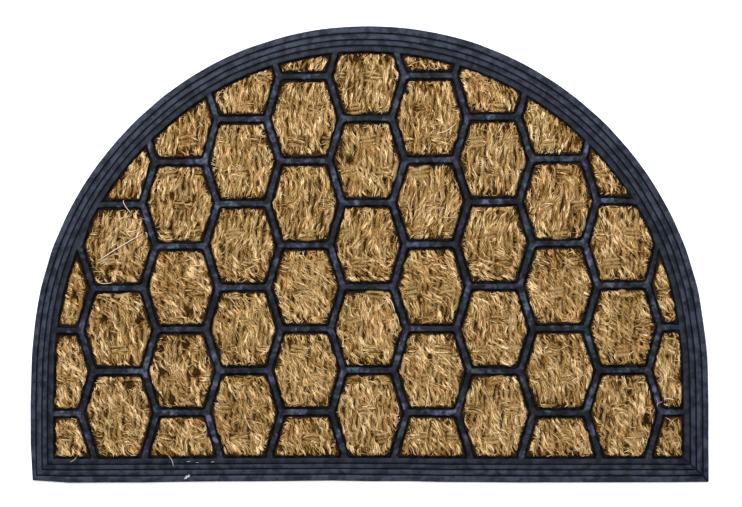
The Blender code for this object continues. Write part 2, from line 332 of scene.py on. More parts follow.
def band_shift(depth, first, inner):
    """Shift of each place of the border, from those of its first groove and of its inner edge."""
    onward = np.clip((depth - GROOVE_PLACES[0]) / (BORDER_WIDTH - GROOVE_PLACES[0]), 0, 1)
    begun = np.clip(depth / GROOVE_PLACES[0], 0, 1)
    fading = np.clip(1 - (depth - BORDER_WIDTH) / BAND_SHIFT_REACH, 0, 1)
    return (first + (inner - first) * onward) * begun * fading


def drawn_in(x, y):
    """How far the moulding has drawn in at each place, from its arc and sides, and from its straight edge."""
    angle = np.degrees(np.arctan2(y - ARC_MIDDLE, x))
    angle = np.where(angle < -90, angle + 360, angle)
    arc_angles, arc_shifts = np.transpose(ARC_DRAWN_IN)
    from_arc = np.interp(angle, arc_angles, arc_shifts * MM)
    from_straight = np.interp(x, *np.transpose(STRAIGHT_DRAWN_IN) * MM)
    from_side, above = side_depth(x, y, 0.0), y - LOWEST
    band_angles, *band_shifts = np.transpose(ARC_BAND_SHIFTS)
    first, inner = (np.interp(angle, band_angles, shifts * MM) for shifts in band_shifts)
    arc_band = band_shift(from_side, first, inner)
    straight_band = band_shift(above, *STRAIGHT_BAND_SHIFT)
    near_arc = np.clip(1 - from_side / DRAWN_REACH, 0, 1)
    near_straight = np.clip(1 - above / DRAWN_REACH, 0, 1)
    return from_arc * near_arc + arc_band, from_straight * near_straight + straight_band


def side_depth(x, y, inset):
    """How far inside the arc and the short straight sides each point lies."""
    radius = HALF_WIDTH - inset
    return np.where(y > ARC_MIDDLE, radius - np.hypot(x, y - ARC_MIDDLE), radius - np.abs(x))


def well_depth(x, y, inset):
    """How far inside the outline at this inset each point lies, negative outside it."""
    return np.minimum(side_depth(x, y, inset), y - LOWEST - inset)


def mould_shift(x, y):
    """How far the mould, which was laid out by hand, has shifted this place of an even honeycomb."""
    across, sideways = np.transpose(SIDEWAYS_SHIFTS) * MM
    heights, *columns = np.transpose(UPWARD_SHIFTS) * MM
    at_left, at_middle, at_right = (np.interp(y, heights, column) for column in columns)
    start, centre, end = UPWARD_SHIFT_COLUMNS
    to_left = np.clip((centre - x) / (centre - start), 0, 1)
    to_right = np.clip((x - centre) / (end - centre), 0, 1)
    upwards = at_middle + (at_left - at_middle) * to_left + (at_right - at_middle) * to_right
    return np.interp(x, across, sideways), upwards


def honeycomb_place(x, y):
    """Points of the mat in the honeycomb's own turned and even frame."""
    first_x, first_y = mould_shift(x, y)
    shift_x, shift_y = mould_shift(x - first_x, y - first_y)
    right, up = x - shift_x - HONEYCOMB_CENTRE[0], y - shift_y - HONEYCOMB_CENTRE[1]
    return right * TURN_COS + up * TURN_SIN, up * TURN_COS - right * TURN_SIN


def mat_place(across, up):
    """Points of the honeycomb's frame as places on the mat."""
    x = HONEYCOMB_CENTRE[0] + across * TURN_COS - up * TURN_SIN
    y = HONEYCOMB_CENTRE[1] + across * TURN_SIN + up * TURN_COS
    shift_x, shift_y = mould_shift(x, y)
    return x + shift_x, y + shift_y


def one_cell_depth(across, up, cell, clearance):
    """How far inside one cell each point lies, this far in from the middle of the ribs."""
    centre_across, centre_up, bottom_row = cell
    sideways, height = np.abs(across - centre_across), up - centre_up
    leaning = (CELL_HALF_WIDTH - SIDE_SLOPE * np.abs(height) - sideways) / hypot(1, SIDE_SLOPE)
    level = ROW_PITCH / 2 - (height if bottom_row else np.abs(height))
    return np.minimum(leaning, level) - clearance


def open_cells():
    """Centre of each cell that is open, in the honeycomb's frame, and whether its foot is the border."""
    cells = []
    grid = np.arange(-40, 41) * MM
    across, up = np.meshgrid(grid, grid)
    for column in range(-COLUMNS_EACH_SIDE, COLUMNS_EACH_SIDE + 1):
        odd_column = column % 2
        for row in range(-ROWS_EACH_SIDE, ROWS_EACH_SIDE + 1):
            bottom_row = row == BOTTOM_ROW and not odd_column
            cell = (column * COLUMN_PITCH, (row + odd_column / 2) * ROW_PITCH, bottom_row)
            x, y = mat_place(across + cell[0], up + cell[1])
            in_cell = one_cell_depth(across + cell[0], up + cell[1], cell, PAD_FROM_RIB)
            seen = (in_cell > 0) & (well_depth(x, y, PAD_FROM_EDGE) > 0)
            if seen.sum() * MM * MM > SMALLEST_OPENING:
                cells.append(cell)
    return cells


CELLS = open_cells()


def pad_depth(x, y):
    """How far inside the edge of a coir pad each point lies, negative outside every pad."""
    across, up = honeycomb_place(x, y)
    deepest = np.full(np.shape(across), -1.0)
    for cell in CELLS:
        deepest = np.maximum(deepest, one_cell_depth(across, up, cell, PAD_FROM_RIB))
    from_arc, from_straight = drawn_in(x, y)
    beside = side_depth(x, y, PAD_FROM_EDGE) - from_arc
    above = y - LOWEST - PAD_FROM_EDGE - from_straight
    from_border = np.minimum(beside, above)
    short = np.hypot(np.maximum(PAD_TIP_RADIUS - deepest, 0), np.maximum(PAD_TIP_RADIUS - from_border, 0))
    near_tip = np.maximum(deepest, from_border) < PAD_TIP_RADIUS
    return np.where(near_tip, PAD_TIP_RADIUS - short, np.minimum(deepest, from_border))


def pad_height(x, y, depth):
    """Height of the coir's surface: full over a pad, and lower towards its edge."""
    share = np.clip(depth / PAD_SHOULDER, 0, 1)
    return PAD_CROWN - PAD_DROP * (1 - share) ** 2 + PAD_UNEVEN * wander(x, y, 45 * MM, 3)


def cell_outline(cell, clearance):
    """A cell's edge with rounded corners and even steps along its sides, as places on the mat."""
    middle = CELL_HALF_WIDTH - clearance * hypot(1, SIDE_SLOPE)
    top = ROW_PITCH / 2 - clearance
    bottom = ROW_PITCH / 2 + BORDER_WIDTH / 2 if cell[2] else top
    corners = np.array([
        (middle, 0.0),
        (middle - SIDE_SLOPE * top, top),
        (SIDE_SLOPE * top - middle, top),
        (-middle, 0.0),
        (SIDE_SLOPE * bottom - middle, -bottom),
        (middle - SIDE_SLOPE * bottom, -bottom),
    ])
    side_steps, corner_steps = 5, 3
    share = np.linspace(0, 1, corner_steps + 1)[:, None]
    arcs = []
    for corner, before, after in zip(corners, np.roll(corners, 1, 0), np.roll(corners, -1, 0), strict=True):
        back = (before - corner) / np.hypot(*(before - corner))
        ahead = (after - corner) / np.hypot(*(after - corner))
        cut = CELL_CORNER_RADIUS / tan(np.arccos(np.clip(back @ ahead, -1, 1)) / 2)
        start, end = corner + back * cut, corner + ahead * cut
        arcs.append((1 - share) ** 2 * start + 2 * share * (1 - share) * corner + share**2 * end)
    points = []
    steps = np.arange(1, side_steps)[:, None]
    for arc, following in zip(arcs, arcs[1:] + arcs[:1], strict=True):
        points += [arc, arc[-1] + (following[0] - arc[-1]) * steps / side_steps]
    local = np.concatenate(points)
    return np.column_stack(mat_place(local[:, 0] + cell[0], local[:, 1] + cell[1]))


# Meshes


def placed(name, data):
    """A new object in the scene with this mesh, curve, light or camera."""
    obj = bpy.data.objects.new(name, data)
    bpy.context.scene.collection.objects.link(obj)
    return obj


def point_values(obj, name, values):
    """Keeps one number for each vertex, which materials read under this name."""
    layer = obj.data.attributes.new(name, "FLOAT", "POINT")
    layer.data.foreach_set("value", np.asarray(values, np.float32))


def mesh_object(name, vertices, faces, material, smooth=True):
    """An object of these faces, given as arrays with one row for each face."""
    mesh = bpy.data.meshes.new(name)
    corners = np.concatenate([group.ravel() for group in faces])
    sizes = np.concatenate([np.full(len(group), group.shape[1]) for group in faces])
    starts = np.concatenate([[0], np.cumsum(sizes)[:-1]])
    mesh.vertices.add(len(vertices))
    mesh.vertices.foreach_set("co", np.asarray(vertices, np.float32).ravel())
    mesh.loops.add(len(corners))
    mesh.loops.foreach_set("vertex_index", corners.astype(np.int32))
    mesh.polygons.add(len(sizes))
    mesh.polygons.foreach_set("loop_start", starts.astype(np.int32))
    mesh.polygons.foreach_set("use_smooth", np.full(len(sizes), smooth))
    mesh.update(calc_edges=True)
    mesh.materials.append(material)
    return placed(name, mesh)


def ring_quads(first, size, levels):
    """The quads between rings of this many corners, one above another, from this vertex on."""
    ring = np.arange(size)
    after = (ring + 1) % size
    bands = [np.zeros((0, 4), int)]
    for level in range(levels - 1):
        low, high = first + level * size, first + (level + 1) * size
        bands.append(np.column_stack([low + ring, low + after, high + after, high + ring]))
    return np.concatenate(bands)


def strand_shapes(lines, radii, sides):
    """Faces of strands that taper to a point at both ends, and how far along and round each vertex is.

    lines is strands x points x 3, and radii is strands x points.
    """
    count, points, _ = lines.shape
    inner = points - 2
    along = np.gradient(lines, axis=1)
    along /= np.linalg.norm(along, axis=2, keepdims=True) + 1e-12
    across = np.cross(along, np.array([0.0, 0.0, 1.0]))
    across /= np.linalg.norm(across, axis=2, keepdims=True) + 1e-12
    over = np.cross(across, along)
    steps = np.linalg.norm(np.diff(lines, axis=1), axis=2)
    run = np.concatenate([np.zeros((count, 1)), np.cumsum(steps, axis=1)], axis=1)
    rings, lays = [], []
    for side in range(sides):
        turn = 2 * pi * side / sides + pi / 2
        offset = cos(turn) * across + sin(turn) * over
        rings.append((lines + offset * radii[:, :, None])[:, 1:-1])
        lays.append(np.stack([run, radii * cos(turn)], axis=2)[:, 1:-1])
    ends = [np.stack([run[:, [end]], np.zeros((count, 1))], axis=2) for end in (0, -1)]
    body = np.stack(rings, axis=2).reshape(count, inner * sides, 3)
    body_lay = np.stack(lays, axis=2).reshape(count, inner * sides, 2)
    vertices = np.concatenate([lines[:, :1], body, lines[:, -1:]], axis=1)
    lay = np.concatenate([ends[0], body_lay, ends[1]], axis=1)
    stride = inner * sides + 2
    ring = np.arange(sides)
    after = (ring + 1) % sides
    last = 1 + (inner - 1) * sides
    fans = [
        np.column_stack([np.zeros(sides, int), 1 + after, 1 + ring]),
        np.column_stack([np.full(sides, stride - 1), last + ring, last + after]),
    ]
    base = (np.arange(count) * stride)[:, None, None]
    triangles = (np.concatenate(fans)[None] + base).reshape(-1, 3)
    quads = (ring_quads(1, sides, inner)[None] + base).reshape(-1, 4)
    return vertices.reshape(-1, 3), triangles, quads, lay.reshape(-1, 2)


def painted_depth_shade(places):
    """How much painted shade darkens coir at each of these points, for being sunk among the rest or in a
    parting.
    """
    x, y, z = places.T
    below = pad_height(x, y, pad_depth(x, y)) - z
    sunk = np.clip(below - SHADE_FROM, 0, SHADE_TO - SHADE_FROM)
    return SHADE_PER_DEPTH * sunk + PARTING_SHADE * parting(x, y)


def strand_object(name, groups, sides, material):
    """One object of all these strands: each group has lines of one number of points, radii and tones."""
    vertices, triangles, quads, lays, tones = [], [], [], [], []
    first = 0
    for lines, radii, tone in groups:
        shape, fans, bands, lay = strand_shapes(lines, radii, sides)
        vertices.append(shape)
        triangles.append(fans + first)
        quads.append(bands + first)
        lays.append(np.column_stack([lay, np.zeros(len(lay))]))
        tones.append(np.repeat(tone, len(shape) // len(lines)))
        first += len(shape)
    places = np.concatenate(vertices)
    places[:, 2] = np.maximum(places[:, 2], coir_low.z)
    obj = mesh_object(name, places, [np.concatenate(triangles), np.concatenate(quads)], material)
    # The tone that materials read is lowered by painted shade where the coir is sunk or parted
    point_values(obj, "tone", np.concatenate(tones) - painted_depth_shade(places))
    lay_layer = obj.data.attributes.new("lay", "FLOAT_VECTOR", "POINT")
    lay_layer.data.foreach_set("vector", np.concatenate(lays).astype(np.float32).ravel())
    return obj


# Rubber


def ramp(distance):
    """Height of the border's ramp this far inside its outer edge."""
    foot = EDGE_HEIGHT + EDGE_ROUND
    ramp_end = GROOVE_PLACES[-1] + GROOVE_HALF_WIDTH
    return foot + np.clip(distance / ramp_end, 0, 1) * (BORDER_TOP - foot)


def border_section():
    """Corners of the border's section, each a distance from the outer edge and a height."""
    corners = [(0.0, 0.0), (0.0, EDGE_HEIGHT)]
    for turn in (30, 60):
        out = EDGE_ROUND * (1 - cos(radians(turn)))
        corners.append((out, EDGE_HEIGHT + EDGE_ROUND * sin(radians(turn))))
    corners.append((EDGE_ROUND, ramp(EDGE_ROUND)))
    for place in GROOVE_PLACES:
        for across, down in GROOVE_PROFILE:
            corners.append((place + across * GROOVE_HALF_WIDTH, ramp(place) - down * GROOVE_DEPTH))
    for turn in (0, 30, 60, 90):
        inwards = BORDER_WIDTH - INNER_ROUND * (1 - sin(radians(turn)))
        corners.append((inwards, BORDER_TOP - INNER_ROUND * (1 - cos(radians(turn)))))
    corners.append((BORDER_WIDTH, 0.0))
    return corners


def flat_curve(name, points):
    """A closed outline through these points."""
    curve = bpy.data.curves.new(name, "CURVE")
    curve.dimensions = "2D"
    spline = curve.splines.new("POLY")
    spline.points.add(len(points) - 1)
    for knot, point in zip(spline.points, points, strict=True):
        knot.co = (point[0], point[1], 0.0, 1.0)
    spline.use_cyclic_u = True
    return curve


def from_curve(name, curve, height=0.0):
    """Turns a curve into a closed mesh object that lies at this height."""
    source = placed(name + "_curve", curve)
    source.location.z = height
    bpy.context.view_layer.update()
    mesh = bpy.data.meshes.new_from_object(source.evaluated_get(bpy.context.evaluated_depsgraph_get()))
    mesh.transform(source.matrix_world)
    bpy.data.objects.remove(source, do_unlink=True)
    work = bmesh.new()
    work.from_mesh(mesh)
    bmesh.ops.remove_doubles(work, verts=work.verts, dist=0.001 * MM)
    bmesh.ops.recalc_face_normals(work, faces=work.faces)
    work.to_mesh(mesh)
    work.free()
    return placed(name, mesh)


def plate(name, outline, low, high):
    """A flat plate with this outline between two heights."""
    curve = flat_curve(name, outline)
    curve.fill_mode = "BOTH"
    curve.extrude = (high - low) / 2
    return from_curve(name, curve, (high + low) / 2)


def combine(body, other, operation):
    """Joins another body to this one or cuts it away, for good."""
    modifier = body.modifiers.new(operation, "BOOLEAN")
    modifier.operation = operation
    modifier.solver = "MANIFOLD"
    modifier.object = other
    bpy.context.view_layer.update()
    graph = bpy.context.evaluated_depsgraph_get()
    mesh = bpy.data.meshes.new_from_object(body.evaluated_get(graph))
    body.modifiers.clear()
    body.data = mesh
    bpy.data.objects.remove(other, do_unlink=True)
    return body


def cell_cutters():
    """The open space over every cell, in one object."""
    vertices, quads, caps = [], [], []
    first = 0
    for cell in CELLS:
        rings = []
        for height, half_width in np.array(RIB_LEVELS) * MM:
            outline = cell_outline(cell, half_width)
            rings.append(np.column_stack([outline, np.full(len(outline), height)]))
        size = len(rings[0])
        ring = np.arange(size)
        quads.append(ring_quads(first, size, len(rings)))
        caps += [(first + ring[::-1])[None], (first + (len(rings) - 1) * size + ring)[None]]
        vertices += rings
        first += len(rings) * size
    material = bpy.data.materials.new("cutter")
    return mesh_object("cell_cutters", np.concatenate(vertices), quads + caps, material, smooth=False)


def nick_cutters():
    """Thin blades that cut the nicks into the tops of the ribs, in one object."""
    blades = None
    for px, py, degrees in NICKS:
        place = photo_place(px, py)
        turn = radians(degrees)
        along = NICK_LENGTH / 2 * np.array([cos(turn), sin(turn)])
        across = NICK_WIDTH / 2 * np.array([-sin(turn), cos(turn)])
        corners = ((-1, -1), (1, -1), (1, 1), (-1, 1))
        outline = [place + along * ahead + across * aside for ahead, aside in corners]
        blade = plate("nick", outline, NICK_FOOT, RIB_TOP + MM)
        blades = combine(blades, blade, "UNION") if blades else blade
    return blades


def seam_cutter():
    """A thin blade along a corner's mitre, whose foot follows the border's ramp."""
    aside = SEAM_WIDTH / 2 / sqrt(2)
    ring = []
    for inset in (-MM, 0.0, GROOVE_PLACES[-1] + GROOVE_HALF_WIDTH, BORDER_WIDTH + MM):
        foot = ramp(inset) - SEAM_DEPTH
        x, y = HALF_WIDTH - inset, LOWEST + inset
        for side in (-1, 1):
            for z in (foot, BORDER_TOP + MM):
                ring.append((x + side * aside, y + side * aside, z))
    quads = []
    for first in (0, 4, 8):
        for near, far in ((0, 1), (1, 3), (3, 2), (2, 0)):
            quads.append((first + near, first + far, first + 4 + far, first + 4 + near))
    quads += [(0, 2, 3, 1), (12, 13, 15, 14)]
    material = bpy.data.materials.new("cutter")
    return mesh_object("seam_cutter", np.array(ring), [np.array(quads)], material, smooth=False)


def rubber_tray(material):
    """Border, backing sheet and ribs as one moulding, finer than the solid that it stands for."""
    section = placed("section", flat_curve("section", border_section()))
    path = flat_curve("rubber_tray", half_round(0.0, BORDER_STEP))
    path.bevel_mode = "OBJECT"
    path.bevel_object = section
    tray = from_curve("rubber_tray", path)
    bpy.data.objects.remove(section, do_unlink=True)
    combine(tray, plate("backing", half_round(BACKING_INSET, BACKING_STEP), 0.0, BACKING_TOP), "UNION")
    ribs = plate("ribs", half_round(BORDER_WIDTH - RIB_OVERLAP, RIB_STEP), RIB_UNDERSIDE, RIB_TOP)
    combine(ribs, cell_cutters(), "DIFFERENCE")
    combine(ribs, nick_cutters(), "DIFFERENCE")
    combine(tray, ribs, "UNION")
    combine(tray, seam_cutter(), "DIFFERENCE")
    flash = plate("flash", half_round(BORDER_WIDTH - FLASH_OVERLAP, RIB_STEP), RIB_UNDERSIDE, FLASH_TOP)
    inside = plate("inside", half_round(BORDER_WIDTH + FLASH_WIDTH, RIB_STEP), RIB_UNDERSIDE - MM, BORDER_TOP)
    combine(flash, inside, "DIFFERENCE")
    combine(tray, flash, "UNION")
    tray.data.materials.clear()
    tray.data.materials.append(material)
    return tray


def vertex_places(mesh):
    """Where each vertex of a mesh is, one row for each."""
    places = np.empty(len(mesh.vertices) * 3, np.float32)
    mesh.vertices.foreach_get("co", places)
    return places.reshape(-1, 3).astype(float)


def shade_moulding(tray, trench_shade_material):
    """Tells the rubber's materials where to paint shade into its low places, where feet tread on it, and
    where a trench is, whose faces get near-black painted shade.
    """
    x, y, z = vertex_places(tray.data).T
    inset = well_depth(x, y, 0.0)
    on_ribs = inset > BORDER_WIDTH + 1.0 * MM
    past_border = inset > BORDER_WIDTH - 0.1 * MM
    flank = np.where(past_border, np.clip((FLANK_TOP - z) / MM, 0, 1), 0.0)
    level_shade = np.where(on_ribs, RIB_SHADE, np.interp(inset, *np.transpose(BORDER_SHADES)))
    from_seam = np.abs(HALF_WIDTH - x - (y - LOWEST)) / sqrt(2)
    low_in_seam = (inset < BORDER_WIDTH) & (z < ramp(inset) - 0.5 * SEAM_DEPTH)
    groove = (from_seam < 0.6 * SEAM_WIDTH) & low_in_seam
    for place in GROOVE_PLACES:
        groove |= np.abs(inset - place) < 0.85 * GROOVE_HALF_WIDTH
    # Painted shade down the ribs' flanks and on the border's inner band, and a little darkening of the ribs'
    # tops; the grooves and seam get the darkest painted shade
    shade_share = np.maximum(FLANK_SHADE * flank, level_shade)
    point_values(tray, "painted_shade_and_rib_tone", np.where(groove & (z > EDGE_ROUND), GROOVE_SHADE, shade_share))
    point_values(tray, "trodden", on_ribs)
    # The trench's faces take the near-black rubber of painted shade
    trench = past_border & (z < TRENCH_TOP)
    tray.data.materials.append(trench_shade_material)
    for face in tray.data.polygons:
        face.material_index = int(all(trench[corner] for corner in face.vertices))


def settle_moulding(tray):
    """Small faults of a cheap moulding: a slightly wavy outline, and one corner that is worn round."""
    places = vertex_places(tray.data)
    x, y = places[:, 0].copy(), places[:, 1].copy()
    near_edge = np.clip(1 - well_depth(x, y, 0.0) / EDGE_WAVE_REACH, 0, 1)
    from_arc, from_straight = drawn_in(x, y)
    in_arc = y > ARC_MIDDLE
    from_middle = np.maximum(np.hypot(x, y - ARC_MIDDLE), MM)
    places[:, 0] -= from_arc * np.where(in_arc, x / from_middle, np.sign(x))
    places[:, 1] -= from_arc * np.where(in_arc, (y - ARC_MIDDLE) / from_middle, 0)
    places[:, 1] += from_straight
    places[:, 0] += near_edge * EDGE_WAVE * wander(x, y, EDGE_WAVE_LENGTH, 21)
    places[:, 1] += near_edge * EDGE_WAVE * wander(x, y, EDGE_WAVE_LENGTH, 22)
    from_corner = np.hypot(x + HALF_WIDTH, y - LOWEST)
    places[:, :2] += (WORN_CORNER * np.exp(-from_corner / WORN_CORNER_REACH))[:, None]
    tray.data.vertices.foreach_set("co", places.astype(np.float32).ravel())
    tray.data.update()


# Coir matting: where its yarns run


WEAVE_X, WEAVE_Y = photo_place(368, 141)


def row_place(row):
    """How far down from the weave's centre each row of crossings is."""
    return np.interp(row, WEFT_ROWS, WEFT_ROW_PLACES)


def row_at(down):
    """The row of crossings, or the place between two, at each distance down."""
    return np.interp(down, WEFT_ROW_PLACES, WEFT_ROWS)


def sway(x, y):
    """How far the strands at each place are pushed aside, all together."""
    return STRAND_SWAY * wander(x, y, SWAY_LENGTH, 35)


def warp_lumps(x, y):
    """How far the warp stands above or below its usual height."""
    return 0.45 * MM * wander(x, y, 11 * MM, 33)


def parting(x, y):
    """How far the yarns are parted at each place, from 0 to 1 at a hole."""
    parted = np.zeros(np.shape(x))
    ragged = 1 + 0.40 * wander(x, y, 4.5 * MM, 36)
    for px, py, size in PARTINGS:
        hole_x, hole_y = photo_place(px, py)
        apart = np.hypot(x - hole_x, (y - hole_y) * 0.8) / (size * PIXEL)
        parted = np.maximum(parted, np.clip(1.8 * (1.4 - apart * ragged), 0, 1))
    return parted


def crossing(band, down):
    """1 where a band of warp passes under the weft, falling to 0 where it floats on top."""
    nearest = np.round(row_at(down))
    under = (band + nearest) % 2 == 0
    away = np.abs(down - row_place(nearest)) / WARP_DIP_HALF
    deepest = WARP_DIP_SHARE + WARP_DIP_SPREAD * spot_share(nearest, band, 4)
    return np.where(under & (away < 1), deepest * (0.5 + 0.5 * np.cos(pi * np.minimum(away, 1))), 0.0)


def gathering(band, down):
    """1 at the ends of a float, where its yarns draw together, and 0 at its middle."""
    nearest = np.round(row_at(down))
    ends = np.where((band + nearest) % 2 == 0, nearest, nearest + np.sign(down - row_place(nearest)))
    return np.exp(-(((down - row_place(ends)) / CLOSING_LENGTH) ** 2))


def weave_place(x, y):
    """Which warp yarn runs at each place, and how far down from the weave's centre it is."""
    down = WEAVE_Y - y
    across = x - WEAVE_X + WARP_SLOPE * down + WARP_BAND / 2
    return np.floor(across / YARN_PITCH), down


def weave_reach():
    """The first and last warp yarn with any coir, and the distances down to the mat's top and foot."""
    left, down_top = weave_place(-HALF_WIDTH, rubber_high.y)
    right, down_end = weave_place(HALF_WIDTH, LOWEST)
    return left - 4, right + 4, down_top, down_end


def warp_line(yarn, down):
    """Middle of these warp yarns at these distances down, and how far inside a pad it is."""
    band = np.floor(yarn / YARNS_IN_BAND)
    in_band = (yarn - band * YARNS_IN_BAND - (YARNS_IN_BAND - 1) / 2) * YARN_PITCH
    drawn = in_band * (BAND_SPREAD - BAND_CLOSING * gathering(band, down))
    x = WEAVE_X + band * WARP_BAND + drawn - WARP_SLOPE * down
    y = WEAVE_Y - down + np.zeros_like(x)
    x = x + 0.9 * MM * wander(x, y, 38 * MM, 31) + 0.6 * MM * wander(x, y, 17 * MM, 32)
    x = x + sway(x, y)
    depth = pad_depth(x, y)
    under = crossing(band, down)
    z = pad_height(x, y, depth) - YARN_RADIUS - WARP_DIP * under - PARTING_DEPTH * parting(x, y)
    return x, y, z + warp_lumps(x, y), depth


def spot_share(row, band, seed):
    """A number between -1 and 1 that belongs to one spot of the weave."""
    return np.sin(row * 12.9898 + band * 78.233 + seed * 37.719) * np.cos(row * 4.1 + band * 2.7 + seed)


def weft_line(row, band, pick, along):
    """Middle of these crossing yarns, along from the middle of the spot where they show."""
    down = row_place(row)
    x = WEAVE_X + band * WARP_BAND - WARP_SLOPE * down + along
    y = WEAVE_Y - down - pick * WEFT_PITCH + (WEFT_SLOPE + 0.25 * spot_share(row, band, 1)) * along
    y = y + 1.2 * MM * spot_share(row, band, 2)
    x = x + 0.7 * MM * wander(x, y, 38 * MM, 31)
    y = y + 0.6 * MM * wander(x, y, 23 * MM, 41)
    depth = pad_depth(x, y)
    dive = np.clip((np.abs(along) - WEFT_LEVEL_RUN) / WEFT_DIVE_RUN, 0, 1)
    sunk = 0.1 * MM + 0.5 * MM * spot_share(row, band, 3)
    z = pad_height(x, y, depth) - YARN_RADIUS - sunk - WEFT_DIVE * dive**1.6 - PARTING_DEPTH * parting(x, y)
    return x, y, z, depth


# Coir matting: its ground, yarns and fibres


def coir_ground(material):
    """The panel's closed sheet under the yarns, flat beneath the ribs and raised inside each cell, dark with
    painted shade where it shows.
    """
    inset = HALF_WIDTH - coir_high.x
    low, radius = LOWEST + inset, HALF_WIDTH - inset
    turns = np.linspace(0, pi / 2, round(radius * 1.45 / GROUND_STEP))[:-1]
    rows = np.concatenate([np.arange(low, ARC_MIDDLE, GROUND_STEP), ARC_MIDDLE + radius * np.sin(turns)])
    in_arc = np.sqrt(np.maximum(radius**2 - (rows - ARC_MIDDLE) ** 2, 0))
    half_widths = np.where(rows > ARC_MIDDLE, in_arc, radius)
    shares = np.linspace(-1, 1, round(2 * radius / GROUND_STEP))
    x = half_widths[:, None] * shares[None]
    y = np.repeat(rows[:, None], len(shares), axis=1)
    rise = np.clip(pad_depth(x, y) / GROUND_SHOULDER, 0, 1)
    z = MATTING_TOP + GROUND_RISE * rise * rise * (3 - 2 * rise) - 0.9 * MM * parting(x, y)
    top = np.stack([x, y, z], axis=2).reshape(-1, 3)
    index = np.arange(len(top)).reshape(len(rows), len(shares))
    quads = np.stack([index[:-1, :-1], index[:-1, 1:], index[1:, 1:], index[1:, :-1]], axis=2).reshape(-1, 4)
    rim = np.concatenate([index[0], index[1:, -1], index[-1, -2::-1], index[-2:0:-1, 0]])
    under = top[rim].copy()
    under[:, 2] = coir_low.z
    first = len(top)
    ring = np.arange(len(rim))
    after = (ring + 1) % len(rim)
    walls = np.column_stack([rim, first + ring, first + after, rim[after]])
    base = (first + ring[::-1])[None]
    return mesh_object("coir_matting", np.concatenate([top, under]), [quads, walls, base], material)


def yarn_groups(lines, random):
    """Yarns gathered by their number of points, with a radius at each point and one tone."""
    by_length = {}
    for line in lines:
        by_length.setdefault(len(line), []).append(line)
    groups = []
    for length in sorted(by_length):
        stack = np.stack(by_length[length])
        radii = YARN_RADIUS * (1 + 0.10 * random.standard_normal(stack.shape[:2]).clip(-1.5, 1.5))
        radii[:, 1] *= 0.7
        radii[:, -2] *= 0.7
        groups.append((stack, radii, random.uniform(0.45, 0.75, len(stack))))
    return groups


def lengths_in_pads(x, y, z, depth):
    """The unbroken lengths of a yarn that lie inside the pads and have four points or more."""
    line = np.column_stack([x, y, z])
    inside = (depth > 0.1 * MM).astype(int)
    changes = np.flatnonzero(np.diff(np.concatenate([[0], inside, [0]])))
    ends = zip(changes[::2], changes[1::2], strict=True)
    return [line[start:end] for start, end in ends if end - start > 3]


def warp_yarns(material):
    """The yarns that run up the mat, over and under the weft."""
    first, last, down_top, down_end = weave_reach()
    down = np.arange(down_top, down_end, YARN_STEP)
    lines = []
    for yarn in range(int(first), int(last) + 1):
        lines += lengths_in_pads(*warp_line(np.full(len(down), yarn), down))
    return strand_object("warp_yarns", yarn_groups(lines, np.random.default_rng(51)), 5, material)


def weft_spots():
    """Row and band of each place where the crossing yarns show."""
    rows = range(WEFT_ROWS[0], WEFT_ROWS[-1] + 1)
    bands = range(-BANDS_EACH_SIDE, BANDS_EACH_SIDE + 1)
    return [(row, band) for row in rows for band in bands if (row + band) % 2 == 0]


def weft_yarns(material):
    """The pieces of yarn that cross the mat and show between the warp yarns."""
    along = np.linspace(-WEFT_HALF_SPAN, WEFT_HALF_SPAN, 9)
    lines = []
    for row, band in weft_spots():
        for pick in (-1, 0, 1):
            lines += lengths_in_pads(*weft_line(row, band, pick, along))
    return strand_object("weft_yarns", yarn_groups(lines, np.random.default_rng(52)), 5, material)


def pad_places(count, random, least_depth):
    """Random places over the pads, about this many before those outside the pads are left out."""
    x = random.uniform(-HALF_WIDTH, HALF_WIDTH, count)
    y = random.uniform(LOWEST, rubber_high.y, count)
    inside = pad_depth(x, y) > least_depth
    return x[inside], y[inside]


def kept_share(place_of, reach, random):
    """How much of its reach each strand keeps, so that it ends at the pad's ragged edge."""
    limit = random.uniform(-0.85, 0.15, len(reach)) * MM
    share = np.zeros(len(reach))
    for trial in (0.15, 0.3, 0.45, 0.6, 0.8, 1.0):
        *_, depth = place_of(reach * trial)
        share = np.where((depth > limit) & (share >= trial - 0.21), trial, share)
    return share


def laid_strands(place_of, reach, random, thick):
    """Strands along a path: place_of turns distances from each strand's middle into places on it."""
    back = reach * kept_share(place_of, -reach, random)
    ahead = reach * kept_share(place_of, reach, random)
    kept = back + ahead > LEAST_STRAND
    shares = np.linspace(0, 1, STRAND_POINTS)
    along = -back[:, None] + (back + ahead)[:, None] * shares[None]
    x, y, z, _ = place_of(along)
    lines = np.stack([x, y, z], axis=2)
    swell = np.sin(pi * (0.10 + 0.80 * shares)) ** 0.6
    radii = thick[:, None] * swell[None]
    return lines[kept], radii[kept], kept


def patch_tone(x, y):
    """Lighter and darker places in the coir, from tufts up to whole patches of the mat."""
    return sum(amount * wander(x, y, length * MM, seed) for amount, length, seed in PATCH_TONES)


def strand_tones(lines, random):
    """Mostly middle tones, with some dark strands and a few bright ones."""
    count = len(lines)
    tone = random.normal(USUAL_TONE, TONE_SPREAD, count)
    bright = random.uniform(size=count) < BRIGHT_SHARE
    tone = np.where(bright, random.uniform(0.75, 1.1, count), tone)
    middle = lines[:, STRAND_POINTS // 2]
    return tone + patch_tone(middle[:, 0], middle[:, 1])


